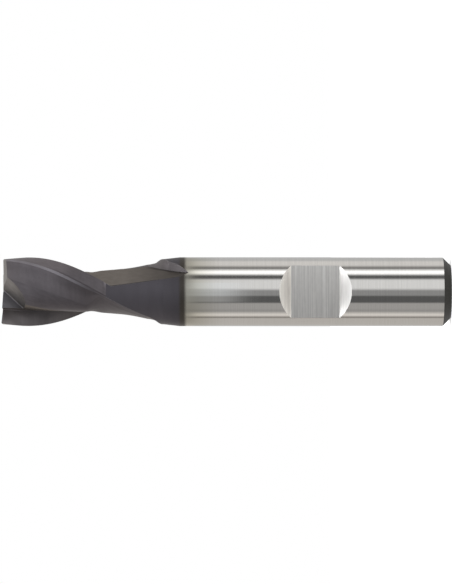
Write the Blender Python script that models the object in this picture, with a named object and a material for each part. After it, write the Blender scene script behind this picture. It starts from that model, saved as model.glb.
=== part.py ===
"""Two-flute slot drill with a clamping flat, modelled as the one solid it is ground from.

The tool stands on its shank end. The origin is the centre of that end face, +Z runs up the
axis to the cutting tip, and the clamping flat faces -Y. Lengths are in metres.

Azimuths are in degrees about the axis, counted from the flat's side (-Y) towards +X.
The tool cuts towards a growing azimuth, and its flutes are a right-hand helix.
"""
import math

import bmesh
import bpy
from mathutils import Matrix, Vector

# Driving dimensions
OVERALL_LENGTH = 0.0651
SHANK_DIAMETER = 0.010
SHANK_LENGTH = 0.0393
END_CHAMFER = 0.00115
NECK_DIAMETER = 0.00948
NECK_CONE_LENGTH = 0.0023
CUT_DIAMETER = 0.00996
CUT_LENGTH = 0.0149
CUT_STEP_LENGTH = 0.0003

# Clamping flat on the shank: its middle, length, distance from the axis and end slope
FLAT_CENTRE = 0.0197
FLAT_LENGTH = 0.0070
FLAT_OFFSET = 0.00329
FLAT_END_ANGLE = 45.0

# Teeth: the helix at the cutting diameter, and the land behind each cutting edge
TEETH = 2
HELIX_ANGLE = 30.0
TIP_EDGE_AZIMUTH = 115.8
LAND_ANGLE = 24.0
RELIEF_DROP = 0.0003
RAKE_ANGLE = 10.0
HEEL_BEVEL = 0.0004
HEEL_BEVEL_ANGLE = 18.0

# Core between the flutes: its radius where the grinding wheel is fed in, how much it grows
# for each radian towards the heel, and the blend at the root of the rake face
CORE_RADIUS = 0.00278
CORE_SWELL = 0.00025
ROOT_BLEND = 0.00055
INFEED_ANGLE = 24.2

# Run-out: full depth up to a ramp, a faster lift near the end, and a scoop at the heel side
FULL_DEPTH_LENGTH = 0.0121
FLUTE_LENGTH = 0.0271
RAMP_ANGLE = 5.6
RAMP_FLOOR_RADIUS = 0.00266
BLEND_LENGTH = 0.0024
LIFT_LENGTH = 0.0040
LIFT_RADIUS = 0.0222
SCOOP_LENGTH = 0.0064
SCOOP_CORNER = 0.0036
SCOOP_CORNER_SHARE = 0.76
CREASE_LENGTH = 0.0060
FLOOR_SIDE_WIDTH = 0.0011
BACK_BULGE = 0.00036
BACK_BULGE_RISE = 0.0013

# Cutting end: gashes, the web they leave, and the relief behind the end edges
GASH_DEPTH = 0.0004
GASH_SLOPE = 45.0
GASH_OPENING = 108.0
WEB_THICKNESS = 0.0003
DISH_ANGLE = 1.8
END_RELIEF_ANGLE = 7.0
END_RELIEF_WIDTH = 0.0010
END_CLEARANCE_ANGLE = 16.0

# Fineness of the mesh
GRID_STEP = 5.0
GRID_SNAP = 0.8
CUT_RING_PITCH = 0.0007
RUN_OUT_RING_PITCH = 0.00045
ROOT_POINTS = 4
FLOOR_POINTS = 8
BACK_POINTS = 8
BLANK_EXTRA = 0.0010
MERGE_DISTANCE = 2e-6
SEAM_OVERLAP = 0.00005
SMOOTH_ANGLE = 22.0
SOLVER_STEPS = 30

# Sizes that follow from the dimensions
FULL_TURN = 360.0
TOOTH_PITCH = FULL_TURN / TEETH
HELIX_RATE = FULL_TURN * math.tan(math.radians(HELIX_ANGLE)) / (math.pi * CUT_DIAMETER)
CUT_START = OVERALL_LENGTH - CUT_LENGTH
NECK_TOP = CUT_START - CUT_STEP_LENGTH
NECK_START = SHANK_LENGTH + NECK_CONE_LENGTH
FLUTE_END = OVERALL_LENGTH - FLUTE_LENGTH
RAMP_START = OVERALL_LENGTH - FULL_DEPTH_LENGTH
SCOOP_START = FLUTE_END + SCOOP_LENGTH
LIFT_START = FLUTE_END + LIFT_LENGTH
CREASE_START = FLUTE_END + CREASE_LENGTH
BLANK_TOP = OVERALL_LENGTH + BLANK_EXTRA
CUTTER_REACH = SHANK_DIAMETER + CUT_DIAMETER

STEEL_COLOUR = (0.42, 0.41, 0.41, 1.0)
STEEL_ROUGHNESS = 0.35


def clamp(value, low, high):
    return max(low, min(high, value))


def ease(value):
    """Smooth step from 0 to 1."""
    value = clamp(value, 0.0, 1.0)
    return value * value * (3.0 - 2.0 * value)


def late_ease(value):
    """Smooth step from 0 to 1 that does most of its rise near the end."""
    value = clamp(value, 0.0, 1.0)
    return value ** 4 * (5.0 - 4.0 * value)


def on_azimuth(radius, azimuth):
    """Point in the section plane at a radius and an azimuth."""
    angle = math.radians(azimuth)
    return Vector((radius * math.sin(angle), -radius * math.cos(angle)))


def edge_azimuth(height):
    """Azimuth of the first cutting edge on its helix."""
    return TIP_EDGE_AZIMUTH - HELIX_RATE * (OVERALL_LENGTH - height)


def body_radius(height):
    """Radius of the turned blank below the teeth: chamfered shank, cone and neck."""
    shank = SHANK_DIAMETER / 2
    neck = NECK_DIAMETER / 2
    if height < END_CHAMFER:
        return shank - END_CHAMFER + height
    cone = clamp((height - SHANK_LENGTH) / NECK_CONE_LENGTH, 0.0, 1.0)
    return shank + (neck - shank) * cone


def outer_radius(height, behind_edge):
    """Outer radius at a share of the land behind the edge: 0 at the edge, 1 at the heel."""
    land = CUT_DIAMETER / 2 - RELIEF_DROP * behind_edge
    step = clamp((height - NECK_TOP) / CUT_STEP_LENGTH, 0.0, 1.0)
    return body_radius(height) * (1.0 - step) + land * step


class WheelFrame:
    """Section axes of the wheel: `out` points away from the axis, `across` to the heel."""

    def __init__(self, azimuth):
        self.azimuth = azimuth
        self.out = on_azimuth(1.0, azimuth)
        self.across = on_azimuth(1.0, azimuth + 90.0)

    def point(self, across, out):
        return self.across * across + self.out * out


# The wheel stops turning with the helix where the ramp starts
RESTING_FRAME = WheelFrame(edge_azimuth(RAMP_START) + INFEED_ANGLE)


def core_support(normal):
    """Distance from the axis to the core's tangent with this normal angle, in radians."""
    return CORE_RADIUS + CORE_SWELL * normal


def core_point(frame, normal):
    """Point of the core's involute where its normal has this angle to the infeed."""
    support = core_support(normal)
    across = support * math.sin(normal) + CORE_SWELL * math.cos(normal)
    out = support * math.cos(normal) - CORE_SWELL * math.sin(normal)
    return frame.point(across, out)


def back_normal(height):
    """Normal angle at which the straight back of the tooth leaves the core."""
    heel = math.radians(TOOTH_PITCH - LAND_ANGLE - INFEED_ANGLE)
    normal = heel
    for _ in range(SOLVER_STEPS):
        ratio = core_support(normal) / outer_radius(height, 1.0)
        normal = heel - math.acos(clamp(ratio, 0.0, 1.0))
    return normal


def rake_line(height):
    """Cutting edge and the inward direction of the rake face, hooked by the rake angle."""
    azimuth = edge_azimuth(height)
    edge = on_azimuth(outer_radius(height, 0.0), azimuth)
    return edge, -on_azimuth(1.0, azimuth + RAKE_ANGLE)


def root_normal(frame, edge, inward):
    """Normal angle at which the core meets the rake face."""
    into_flute = Vector((inward.y, -inward.x))
    low = -math.pi / 2
    high = 0.0
    for _ in range(SOLVER_STEPS):
        middle = (low + high) / 2
        if (core_point(frame, middle) - edge).dot(into_flute) > 0.0:
            high = middle
        else:
            low = middle
    return (low + high) / 2


def ramp_floor(height):
    """Distance from the axis to the flat floor of the run-out."""
    rise = math.tan(math.radians(RAMP_ANGLE)) * (RAMP_START - height)
    lift = max(LIFT_START - height, 0.0) ** 2 / (2 * LIFT_RADIUS)
    return min(RAMP_FLOOR_RADIUS + rise + lift, outer_radius(height, 0.0))


def ramp_side_azimuth(height):
    """Azimuth at which the floor of the run-out meets the outer surface beside the edge."""
    return RESTING_FRAME.azimuth - math.degrees(
        math.acos(clamp(ramp_floor(height) / outer_radius(height, 0.0), 0.0, 1.0)))


def rake_has_run_out(height):
    """Whether the ramp's floor has risen past the cutting edge."""
    edge, _ = rake_line(height)
    return height < RAMP_START and edge.dot(RESTING_FRAME.out) <= ramp_floor(height)


def start_azimuth(height):
    """Azimuth of the leading side of the flute: the cutting edge, or the ramp's side."""
    if height <= FLUTE_END:
        return ramp_side_azimuth(FLUTE_END)
    if rake_has_run_out(height):
        return ramp_side_azimuth(height)
    return edge_azimuth(height)


def heel_azimuth(height):
    """Azimuth of the heel: on the helix, and then faster round the scoop to the end."""
    if height <= FLUTE_END:
        return start_azimuth(height)
    behind = TOOTH_PITCH - LAND_ANGLE
    extra_turn = edge_azimuth(FLUTE_END) + behind - start_azimuth(FLUTE_END)
    corner = late_ease((SCOOP_START - height) / SCOOP_CORNER)
    rest = clamp((SCOOP_START - height) / SCOOP_LENGTH, 0.0, 1.0) ** 3
    share = SCOOP_CORNER_SHARE * corner + (1.0 - SCOOP_CORNER_SHARE) * rest
    return edge_azimuth(height) + behind - extra_turn * share


def heel_point(height):
    return on_azimuth(outer_radius(height, 1.0), heel_azimuth(height))


def bevelled_heel(back_end, heel):
    """Point where the back stops short of the heel, for a narrow bevel between them."""
    run = back_end - heel
    width = min(HEEL_BEVEL, run.length / 2)
    rise = width * math.tan(math.radians(HEEL_BEVEL_ANGLE))
    outward = Vector((-run.y, run.x)).normalized()
    return heel + run.normalized() * width + outward * rise


def full_section(height):
    """Flute at full depth: floor points from the rake root, and back points to the heel."""
    frame = WheelFrame(edge_azimuth(height) + INFEED_ANGLE)
    start = root_normal(frame, *rake_line(height))
    crown = math.asin(clamp((FLOOR_SIDE_WIDTH - CORE_SWELL) / CORE_RADIUS, 0.0, 1.0))
    end = back_normal(height)
    floor = [core_point(frame, start + (crown - start) * i / FLOOR_POINTS)
             for i in range(FLOOR_POINTS + 1)]
    turned = BACK_POINTS - 2
    back = [core_point(frame, crown + (end - crown) * i / turned)
            for i in range(1, turned + 1)]
    heel = heel_point(height)
    return floor, back + [bevelled_heel(back[-1], heel), heel]


def run_out_section(height):
    """Flute in the run-out: a flat floor, and a back that ends in a scoop."""
    out = ramp_floor(height)
    if rake_has_run_out(height):
        side = on_azimuth(outer_radius(height, 0.0), ramp_side_azimuth(height))
    else:
        edge, inward = rake_line(height)
        drop = edge.dot(RESTING_FRAME.out) - out
        side = edge - inward * drop / inward.dot(RESTING_FRAME.out)
    end_side = on_azimuth(outer_radius(FLUTE_END, 0.0), start_azimuth(FLUTE_END))
    share = clamp((CREASE_START - height) / CREASE_LENGTH, 0.0, 1.0)
    end_across = end_side.dot(RESTING_FRAME.across)
    across = FLOOR_SIDE_WIDTH + (end_across - FLOOR_SIDE_WIDTH) * share
    crease = RESTING_FRAME.point(across, out)
    heel = heel_point(height)
    chord = heel - crease
    outward = Vector((chord.y, -chord.x)).normalized()
    bulge = BACK_BULGE * ease((height - LIFT_START) / BACK_BULGE_RISE)
    middle = crease.lerp(heel, 0.5) + outward * 2 * bulge
    floor = [side.lerp(crease, i / FLOOR_POINTS) for i in range(FLOOR_POINTS + 1)]
    back = [arc_point(crease, middle, heel, i / BACK_POINTS)
            for i in range(1, BACK_POINTS + 1)]
    return floor, back


def arc_point(start, control, end, share):
    """Point of the parabola that leaves `start` and reaches `end` heading by `control`."""
    return start.lerp(control, share).lerp(control.lerp(end, share), share)


def flute_outline(height):
    """Points of the first flute in a section, from its leading side to the heel."""
    if height <= FLUTE_END:
        end = on_azimuth(outer_radius(height, 0.0), start_azimuth(height))
        return [end] * (ROOT_POINTS + 1 + FLOOR_POINTS + BACK_POINTS)
    weight = ease((RAMP_START - height) / BLEND_LENGTH)
    floor, back = run_out_section(height)
    if weight < 1.0:
        full_floor, full_back = full_section(height)
        floor = [a.lerp(b, weight) for a, b in zip(full_floor, floor)]
        back = [a.lerp(b, weight) for a, b in zip(full_back, back)]
    edge = on_azimuth(outer_radius(height, 0.0), start_azimuth(height))
    wall = edge - floor[0]
    above_root = floor[0]
    if wall.length > 0.0:
        above_root = floor[0] + wall.normalized() * min(ROOT_BLEND, wall.length / 2)
    root = [arc_point(above_root, floor[0], floor[1], i / ROOT_POINTS)
            for i in range(ROOT_POINTS)]
    return [edge] + root + floor[1:] + back


def land_outline(height):
    """Points of the outer surface between the heel and the next flute's leading side."""
    start = heel_azimuth(height)
    end = start_azimuth(height) + TOOTH_PITCH
    turned = HELIX_RATE * max(height - NECK_TOP, 0.0)
    first = start_azimuth(FLUTE_END) + turned
    points = []
    for index in range(1, round(TOOTH_PITCH / GRID_STEP)):
        azimuth = clamp(first + index * GRID_STEP, start, end)
        if azimuth - start < GRID_SNAP:
            azimuth = start
        if end - azimuth < GRID_SNAP:
            azimuth = end
        behind_edge = (end - azimuth) / (end - start)
        points.append(on_azimuth(outer_radius(height, behind_edge), azimuth))
    return points


def section(height):
    """Closed outline of the solid at one height, counter-clockwise."""
    half = flute_outline(height) + land_outline(height)
    outline = []
    for tooth in range(TEETH):
        turn = Matrix.Rotation(math.radians(TOOTH_PITCH * tooth), 2)
        outline += [turn @ point for point in half]
    return outline


def section_heights():
    """Heights of the lofted sections, closer together where the flutes turn or run out."""
    keys = sorted({0.0, END_CHAMFER, FLUTE_END, SHANK_LENGTH, CREASE_START, NECK_START,
                   NECK_TOP, CUT_START, RAMP_START, BLANK_TOP})
    heights = [0.0]
    for low, high in zip(keys, keys[1:]):
        pitch = CUT_RING_PITCH if low >= CUT_START else RUN_OUT_RING_PITCH
        steps = 1 if high <= FLUTE_END else max(math.ceil((high - low) / pitch), 1)
        heights += [low + (high - low) * i / steps for i in range(1, steps + 1)]
    return heights


def loft_tool():
    """Mesh of the tool before the cuts at its tip and on its shank."""
    mesh = bmesh.new()
    rings = [[mesh.verts.new((p.x, p.y, height)) for p in section(height)]
             for height in section_heights()]
    for low, high in zip(rings, rings[1:]):
        for i, vertex in enumerate(low):
            j = (i + 1) % len(low)
            mesh.faces.new((vertex, low[j], high[j], high[i]))
    mesh.faces.new(reversed(rings[0]))
    mesh.faces.new(rings[-1])
    bmesh.ops.remove_doubles(mesh, verts=mesh.verts, dist=MERGE_DISTANCE)
    bmesh.ops.triangulate(mesh, faces=mesh.faces)
    return mesh


def add_object(name, mesh):
    data = bpy.data.meshes.new(name)
    mesh.to_mesh(data)
    mesh.free()
    piece = bpy.data.objects.new(name, data)
    bpy.context.scene.collection.objects.link(piece)
    return piece


def prism(profile, origin, side, up, start, end):
    """Closed prism: a profile in the `side` and `up` directions, swept from start to end."""
    along = side.cross(up)
    mesh = bmesh.new()
    ends = []
    for distance in (start, end):
        base = origin + along * distance
        ends.append([mesh.verts.new(base + side * x + up * y) for x, y in profile])
    mesh.faces.new(ends[0])
    mesh.faces.new(ends[1])
    for i, vertex in enumerate(ends[0]):
        j = (i + 1) % len(profile)
        mesh.faces.new((vertex, ends[0][j], ends[1][j], ends[1][i]))
    bmesh.ops.recalc_face_normals(mesh, faces=mesh.faces)
    return mesh


def cut(body, name, mesh):
    """Take a cutter away from the body."""
    cutter = add_object(name, mesh)
    cutter.hide_render = True
    cutter.display_type = 'WIRE'
    boolean = body.modifiers.new(name, 'BOOLEAN')
    boolean.operation = 'DIFFERENCE'
    boolean.object = cutter


def clamping_flat():
    """Cutter for the flat: open to the front, with sloped ends."""
    depth = SHANK_DIAMETER - FLAT_OFFSET
    flare = depth / math.tan(math.radians(FLAT_END_ANGLE))
    half = FLAT_LENGTH / 2
    profile = [(-half, 0.0), (half, 0.0), (half + flare, depth), (-half - flare, depth)]
    origin = Vector((0.0, -FLAT_OFFSET, FLAT_CENTRE))
    up = Vector((0.0, 0.0, 1.0))
    return prism(profile, origin, up, Vector((0.0, -1.0, 0.0)), -CUTTER_REACH, CUTTER_REACH)


def tooth_axes(tooth):
    """Directions at the tip along a tooth's end edge, ahead of it and up."""
    azimuth = edge_azimuth(OVERALL_LENGTH) + TOOTH_PITCH * tooth
    return (on_azimuth(1.0, azimuth).to_3d(), on_azimuth(1.0, azimuth + 90.0).to_3d(),
            Vector((0.0, 0.0, 1.0)))


def gash(tooth):
    """Cutter for the notch ahead of an end edge, deeper towards the outside."""
    edge_way, ahead, up = tooth_axes(tooth)
    slope = math.radians(GASH_SLOPE)
    lean = edge_way * math.sin(slope) + up * math.cos(slope)
    origin = ahead * WEB_THICKNESS / 2 + up * (OVERALL_LENGTH - GASH_DEPTH)
    opening = math.radians(GASH_OPENING)
    wall = (CUTTER_REACH * math.sin(opening), CUTTER_REACH * math.cos(opening))
    profile = [(0.0, 0.0), wall, (CUTTER_REACH, CUTTER_REACH), (0.0, CUTTER_REACH)]
    return prism(profile, origin, ahead, lean, -CUTTER_REACH, CUTTER_REACH)


def end_relief(tooth):
    """Cutter above an end edge: dished to the middle, with two angles of relief behind."""
    edge_way, ahead, up = tooth_axes(tooth)
    dish = math.radians(DISH_ANGLE)
    along = edge_way * math.cos(dish) + up * math.sin(dish)
    raised = along.cross(ahead)
    first_drop = END_RELIEF_WIDTH * math.tan(math.radians(END_RELIEF_ANGLE))
    rest = CUTTER_REACH * math.tan(math.radians(END_CLEARANCE_ANGLE))
    start = WEB_THICKNESS / 2
    ahead_of_edge = -start - SEAM_OVERLAP
    rise = SEAM_OVERLAP * math.tan(math.radians(END_RELIEF_ANGLE))
    behind = CUTTER_REACH + END_RELIEF_WIDTH - start
    profile = [(ahead_of_edge, rise), (END_RELIEF_WIDTH - start, -first_drop),
               (behind, -first_drop - rest), (behind, CUTTER_REACH),
               (ahead_of_edge, CUTTER_REACH)]
    corner = edge_way * CUT_DIAMETER / 2 + up * OVERALL_LENGTH
    inner = (CUT_DIAMETER / 2 + WEB_THICKNESS / 2) / math.cos(dish)
    return prism(profile, corner, -ahead, raised, -CUTTER_REACH, inner)


def steel():
    material = bpy.data.materials.new('tool_steel')
    material.use_nodes = True
    shader = material.node_tree.nodes['Principled BSDF']
    shader.inputs['Base Color'].default_value = STEEL_COLOUR
    shader.inputs['Metallic'].default_value = 1.0
    shader.inputs['Roughness'].default_value = STEEL_ROUGHNESS
    return material


def build_slot_drill():
    body = add_object('slot_drill', loft_tool())
    body.data.materials.append(steel())
    cut(body, 'cutter_clamping_flat', clamping_flat())
    for tooth in range(TEETH):
        cut(body, f'cutter_end_relief_{tooth + 1}', end_relief(tooth))
        cut(body, f'cutter_gash_{tooth + 1}', gash(tooth))
    body.data.shade_smooth()
    body.data.set_sharp_from_angle(angle=math.radians(SMOOTH_ANGLE))


for leftover in list(bpy.data.objects):
    bpy.data.objects.remove(leftover)
build_slot_drill()
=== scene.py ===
"""Slot drill standing on its shank end, seen from the side with the camera rolled over.

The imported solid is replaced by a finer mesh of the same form, ground and coated region by
region. The origin is the centre of the shank's end face and +Z runs up to the cutting tip.
Lengths are in metres. Azimuths are in degrees about the axis, counted from -Y towards +X.
"""
import math

import bmesh
import bpy
from mathutils import Matrix, Vector


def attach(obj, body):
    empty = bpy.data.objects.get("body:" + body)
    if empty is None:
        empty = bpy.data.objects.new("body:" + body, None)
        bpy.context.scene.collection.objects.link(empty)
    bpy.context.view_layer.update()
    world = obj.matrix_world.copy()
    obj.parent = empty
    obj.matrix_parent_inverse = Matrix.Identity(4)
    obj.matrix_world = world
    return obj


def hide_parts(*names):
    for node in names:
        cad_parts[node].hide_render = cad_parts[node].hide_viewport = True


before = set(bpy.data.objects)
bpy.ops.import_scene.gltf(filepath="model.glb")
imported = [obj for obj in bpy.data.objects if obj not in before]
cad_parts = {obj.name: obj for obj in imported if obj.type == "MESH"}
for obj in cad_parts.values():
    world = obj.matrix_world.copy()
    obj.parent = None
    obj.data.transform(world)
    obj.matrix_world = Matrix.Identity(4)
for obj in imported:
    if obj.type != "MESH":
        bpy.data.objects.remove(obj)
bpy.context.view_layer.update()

# Driving dimensions of the tool, the same as the solid's
OVERALL_LENGTH = 0.0651
SHANK_DIAMETER = 0.010
SHANK_LENGTH = 0.0393
END_CHAMFER = 0.00115
NECK_DIAMETER = 0.00948
NECK_CONE_LENGTH = 0.0023
CUT_DIAMETER = 0.00996
CUT_LENGTH = 0.0149
CUT_STEP_LENGTH = 0.0003

# Clamping flat on the shank: its middle, length, distance from the axis and end slope
FLAT_CENTRE = 0.0197
FLAT_LENGTH = 0.0070
FLAT_OFFSET = 0.00329
FLAT_END_ANGLE = 45.0

# Teeth: the helix at the cutting diameter, and the land behind each cutting edge
TEETH = 2
HELIX_ANGLE = 30.0
TIP_EDGE_AZIMUTH = 115.8
LAND_ANGLE = 24.0
RELIEF_DROP = 0.0003
RAKE_ANGLE = 10.0
HEEL_BEVEL = 0.0004
HEEL_BEVEL_ANGLE = 18.0

# Core between the flutes: its radius where the grinding wheel is fed in, how much it grows
# for each radian towards the heel, and the blend at the root of the rake face
CORE_RADIUS = 0.00278
CORE_SWELL = 0.00025
ROOT_BLEND = 0.00055
INFEED_ANGLE = 24.2

# Run-out: full depth up to a ramp, a faster lift near the end, and a scoop at the heel side
FULL_DEPTH_LENGTH = 0.0121
FLUTE_LENGTH = 0.0271
RAMP_ANGLE = 5.6
RAMP_FLOOR_RADIUS = 0.00266
BLEND_LENGTH = 0.0024
LIFT_LENGTH = 0.0040
LIFT_RADIUS = 0.0222
SCOOP_LENGTH = 0.0064
SCOOP_CORNER = 0.0036
SCOOP_CORNER_SHARE = 0.76
CREASE_LENGTH = 0.0060
FLOOR_SIDE_WIDTH = 0.0011
BACK_BULGE = 0.00036
BACK_BULGE_RISE = 0.0013

# Cutting end: gashes, the web they leave, and the relief behind the end edges
GASH_DEPTH = 0.0004
GASH_SLOPE = 45.0
GASH_OPENING = 108.0
WEB_THICKNESS = 0.0003
DISH_ANGLE = 1.8
END_RELIEF_ANGLE = 7.0
END_RELIEF_WIDTH = 0.0010
END_CLEARANCE_ANGLE = 16.0

# Fineness of the mesh
GRID_STEP = 1.5
GRID_SNAP = 0.3
CUT_RING_PITCH = 0.00018
RUN_OUT_RING_PITCH = 0.00012
ROOT_POINTS = 10
FLOOR_POINTS = 24
BACK_POINTS = 28
BLANK_EXTRA = 0.0010
MERGE_DISTANCE = 2e-6
SEAM_OVERLAP = 0.00005
SOLVER_STEPS = 30

# Sizes that follow from the dimensions
FULL_TURN = 360.0
HALF_TURN = 180.0
TOOTH_PITCH = FULL_TURN / TEETH
HELIX_RATE = FULL_TURN * math.tan(math.radians(HELIX_ANGLE)) / (math.pi * CUT_DIAMETER)
CUT_START = OVERALL_LENGTH - CUT_LENGTH
NECK_TOP = CUT_START - CUT_STEP_LENGTH
NECK_START = SHANK_LENGTH + NECK_CONE_LENGTH
FLUTE_END = OVERALL_LENGTH - FLUTE_LENGTH
RAMP_START = OVERALL_LENGTH - FULL_DEPTH_LENGTH
SCOOP_START = FLUTE_END + SCOOP_LENGTH
LIFT_START = FLUTE_END + LIFT_LENGTH
CREASE_START = FLUTE_END + CREASE_LENGTH
BLANK_TOP = OVERALL_LENGTH + BLANK_EXTRA
CUTTER_REACH = SHANK_DIAMETER + CUT_DIAMETER

# Coating: where it ends on the shank, how soft its edge is, the brown band above it and the
# stained length of steel below it
COATING_END = 0.03845
COATING_EDGE = 0.0003
BAND_START = 0.0006
BAND_END = 0.0011
STAIN_LENGTH = 0.006

# Surface map: its unit, and the width that a column of the flutes counts for
MILLIMETRES = 1000.0
COLUMN_WIDTH = 0.13

# Edges: the angle that stays sharp, the width of the painted highlight along an edge, and the
# cosines between the true and the rounded normal (low, high, share, share) that make it so
SHARP_ANGLE = 12.0
EDGE_RADIUS = 0.00006
EDGE_SAMPLES = 6
EDGE_TURN = (0.80, 0.995, 1.0, 0.0)

# Finishes, in the order of the piece's material slots
(TURNED, SHANK_END, LAND, RAKE, FLOOR, BACK, FLAT, FLAT_UPPER, FLAT_LOWER, GASH, END_RAKE,
 RELIEF, SCOOP, CREASE, HEEL) = range(15)

# Colours of the finishes; the coat's colours differ face by face as painted light and shade
WHITE = (1.0, 1.0, 1.0, 1.0)
STEEL_LIGHT = (0.79, 0.78, 0.76, 1.0)
STEEL_DARK = (0.73, 0.72, 0.70, 1.0)
# Painted highlight for the steel's sharp edges
STEEL_EDGE_HIGHLIGHT = (0.95, 0.94, 0.92, 1.0)
STEEL_STAINED = (0.56, 0.545, 0.48, 1.0)
COAT_NECK = (0.148, 0.140, 0.159, 1.0)
COAT_BAND = (0.097, 0.088, 0.079, 1.0)
COAT_LAND = (0.21, 0.192, 0.206, 1.0)
COAT_BACK = (0.180, 0.166, 0.181, 1.0)
COAT_RAKE = (0.150, 0.139, 0.142, 1.0)
COAT_FLOOR = (0.265, 0.239, 0.218, 1.0)
COAT_GASH = (0.345, 0.325, 0.317, 1.0)
COAT_RELIEF = (0.235, 0.219, 0.212, 1.0)
# Painted highlight for the coat's sharp edges
COAT_EDGE_HIGHLIGHT = (0.34, 0.325, 0.31, 1.0)
COAT_END_RAKE = (0.25, 0.243, 0.263, 1.0)
COAT_SCOOP = (0.175, 0.161, 0.168, 1.0)
# Painted shade along the crease of the run-out
COAT_CREASE_SHADE = (0.045, 0.043, 0.044, 1.0)
# Painted highlight along the heel's bevel
COAT_HEEL_HIGHLIGHT = (0.37, 0.35, 0.385, 1.0)
END_DARK = (0.042, 0.041, 0.037, 1.0)
FLAT_STEEL = (0.84, 0.83, 0.81, 1.0)
# The flat's sloped ends: a lit and a shaded copy of its steel, as painted light and shade
FLAT_UPPER_LIT_STEEL = (0.95, 0.91, 0.85, 1.0)
FLAT_LOWER_SHADED_STEEL = (0.505, 0.50, 0.495, 1.0)

# Factors along the tool: (low height, high height, factor there, factor there), in mm
CONE_FADE = (39.5, 42.5, 0.80, 1.0)
# Painted light: the lands lighter towards the tip
LAND_FADE = (54.0, 57.0, 1.0, 1.28)
# Painted shade: the dark line along the heel on the lands, gone towards the tip
HEEL_LINE_FADE = (54.0, 59.0, 0.62, 1.0)
# Painted highlight: the heel's light line, dimmer down the tool
HEEL_FADE = (51.0, 60.0, 0.5, 1.0)
# Painted light: the backs lighter towards the tip
BACK_FADE = (50.0, 57.5, 0.80, 1.0)
BACK_TIP_FADE = (59.3, 61.6, 1.0, 1.25)
# Painted light: the scoop lighter towards its upper end
SCOOP_FADE = (40.7, 41.6, 0.74, 1.20)
# Painted light: the flat's sloped ends lighter upwards, a highlight line at the upper one's
# foot
UPPER_FADE = (23.3, 25.2, 0.86, 1.07)
UPPER_EDGE = (23.30, 23.40, 1.22, 1.0)
LOWER_FADE = (14.9, 16.0, 0.85, 1.32)
# Painted light: the rakes and the gashes lighter towards the tip
RAKE_FADE = (54.0, 58.0, 0.70, 1.02)
RAKE_TIP_FADE = (61.0, 64.2, 1.0, 2.05)
GASH_FADE = (61.6, 63.8, 0.64, 1.0)
# Painted shade: the flute's floor darker where it runs out, most of all by the crease
FLOOR_FADE = (40.5, 48.5, 0.52, 1.0)
CREASE_FADE = (42.6, 44.6, 0.5, 1.0)

# Painted shading across the flute, from the crease: (near, far, factor, factor), in mm on the
# map
# Painted shade by the crease
CREASE_BAND = (0.13, 0.50, 0.28, 1.0)
# Painted light along the back's middle, and painted shade by the heel
BACK_MIDDLE = (3.0, 3.35, 0.97, 1.15)
BACK_BY_HEEL = (3.41, 3.48, 1.0, 0.76)
# Painted shade towards the rake's root
RAKE_ACROSS = (-4.38, -4.30, 1.12, 0.85)

# Painted shade along the heel on a land: (near, far, factor, factor), in mm
HEEL_LINE = (0.08, 0.32, 0.60, 1.0)

# The brighter line on the flat: its place from the middle, and (near, far, factor, factor)
SCRIBE_PLACE = -1.27
SCRIBE_LINE = (0.05, 0.11, 1.20, 1.0)

# The gash's root: (near, far, factor, factor) of the painted shade band and highlight line, in
# mm
VALLEY_BAND = (0.12, 2.4, 0.60, 1.07)
VALLEY_LINE = (0.05, 0.14, 1.6, 0.0)

# Grain: noise scales per millimetre, round and up or across and along, and the detail where
# it isn't the usual one
GRAIN_DETAIL = 3.0
GRAIN_ROUGHNESS = 0.6
SHANK_LINES = (0.05, 7.0)
SHANK_HATCH = (2.5, 6.0, 1.0)
END_LINES = (0.05, 4.0)
NECK_CLOUDS = (0.10, 0.5)
CLOUDS = (2.2, 0.9, 2.0)
LAND_LINES = (0.1, 5.0)
FLUTE_LINES = (6.0, 0.15)
BACK_LINES = (5.0, 0.12)
FLAT_LINES = (6.5, 0.05)
COAT_LINES = (5.0, 0.2)

# Shares of the noise between which a mottling, a line or the roughness changes
CLOUD_RANGE = (0.35, 0.65)
LINE_RANGE = (0.3, 0.7)
ROUGH_RANGE = (0.2, 0.8)

# Roughness, depth of the lines in metres, and how much mottling and painted edge highlight
# shows
COAT_ROUGHNESS = 0.40
COAT_LINE_DEPTH = 1.2e-6
COAT_HIGHLIGHT_SHARE = 0.5
COAT_MOTTLE = 0.05
COAT_CONTRAST = 0.04
FLAT_ROUGHNESS = 0.36
FLAT_LINE_DEPTH = 6e-7
FLAT_HIGHLIGHT_SHARE = 0.8
FLAT_MOTTLE = 0.02
FLAT_CONTRAST = 0.13
END_ROUGHNESS = 0.45
END_LINE_DEPTH = 1e-6
SHANK_ROUGHNESS = (0.075, 0.115)
SHANK_LINE_DEPTH = 1e-7
SHANK_HIGHLIGHT_SHARE = 0.6
HATCH_SHARE = 2.0
NECK_ROUGHNESS = 0.42
NECK_MOTTLE = 0.04
ROUGH_SPREAD = (0.8, 1.25)

# Studio: a white floor and surroundings, and one soft lamp overhead
FLOOR_RADIUS = 0.6
FLOOR_SEGMENTS = 64
FLOOR_COLOUR = (0.8, 0.8, 0.8, 1.0)
FLOOR_ROUGHNESS = 0.9
FLOOR_GLOW = 0.6
WORLD_LIGHT = 0.6
LAMP_PLACE = (0.05, -0.10, 0.60)
LAMP_SIZE = 0.40
LAMP_WATTS = 3.0

# Tent: a lit cylinder that only reflections see. A fill from the front comes in over the
# collar's heights, other bands take over at the cutter's, and the upper part is dimmer
TENT_RADIUS = 0.05
TENT_BOTTOM = -0.03
TENT_TOP = 0.30
TENT_SEGMENTS = 180
COLLAR_FADE = (0.0275, 0.0345)
CUTTER_FADE = (0.0368, 0.0395)
UPPER_DIM = (0.075, 0.105, 1.0, 0.62)

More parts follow.
